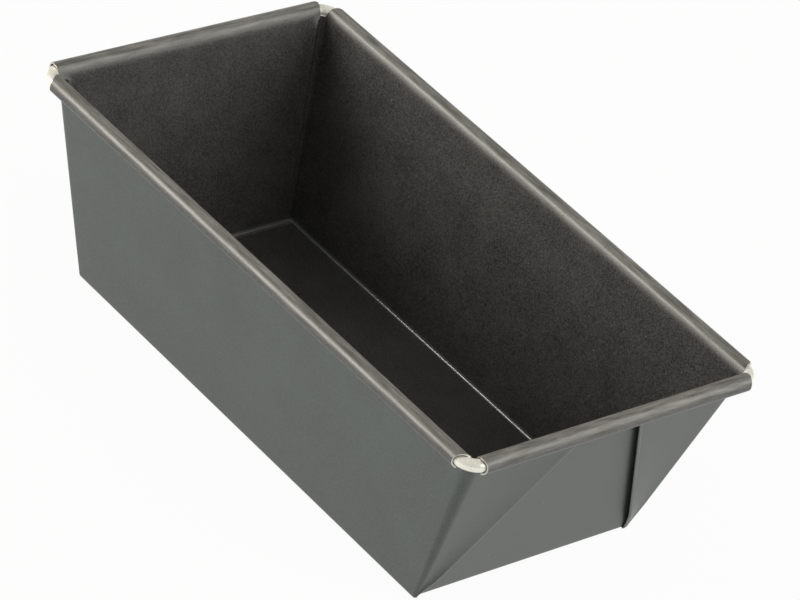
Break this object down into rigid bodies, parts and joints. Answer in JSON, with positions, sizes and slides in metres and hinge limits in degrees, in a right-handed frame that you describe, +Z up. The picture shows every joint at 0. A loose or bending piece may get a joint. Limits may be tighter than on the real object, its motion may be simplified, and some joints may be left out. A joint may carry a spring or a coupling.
{
  "type": "mini loaf pan",
  "caption": "Small tapered loaf tin folded from coated sheet steel, with pleated corners lapped over the end walls and a rim curled round a bent wire.",
  "frame": {"origin": "on the table, under the middle of the base panel", "axes": "+X along the pan's length towards the front end, +Y towards the right side, +Z up"},
  "size_m": [0.1538, 0.0826, 0.0495],
  "materials": {
    "nonstick_sheet": "near-black non-stick coating on sheet steel, satin and finely speckled",
    "coated_sheet": "satin grey coating on sheet steel outside, near-black non-stick coating inside",
    "rim_wire": "bare bright drawn wire"
  },
  "bodies": {
    "root": {"base_panel": "nonstick_sheet", "left_side_wall": "coated_sheet", "right_side_wall": "coated_sheet", "front_end_wall": "coated_sheet", "rear_end_wall": "coated_sheet", "front_left_corner_fold": "coated_sheet", "front_right_corner_fold": "coated_sheet", "rear_left_corner_fold": "coated_sheet", "rear_right_corner_fold": "coated_sheet", "left_rim_curl": "coated_sheet", "right_rim_curl": "coated_sheet", "front_rim_curl": "coated_sheet", "rear_rim_curl": "coated_sheet", "rim_wire": "rim_wire"}
  },
  "joints": []
}
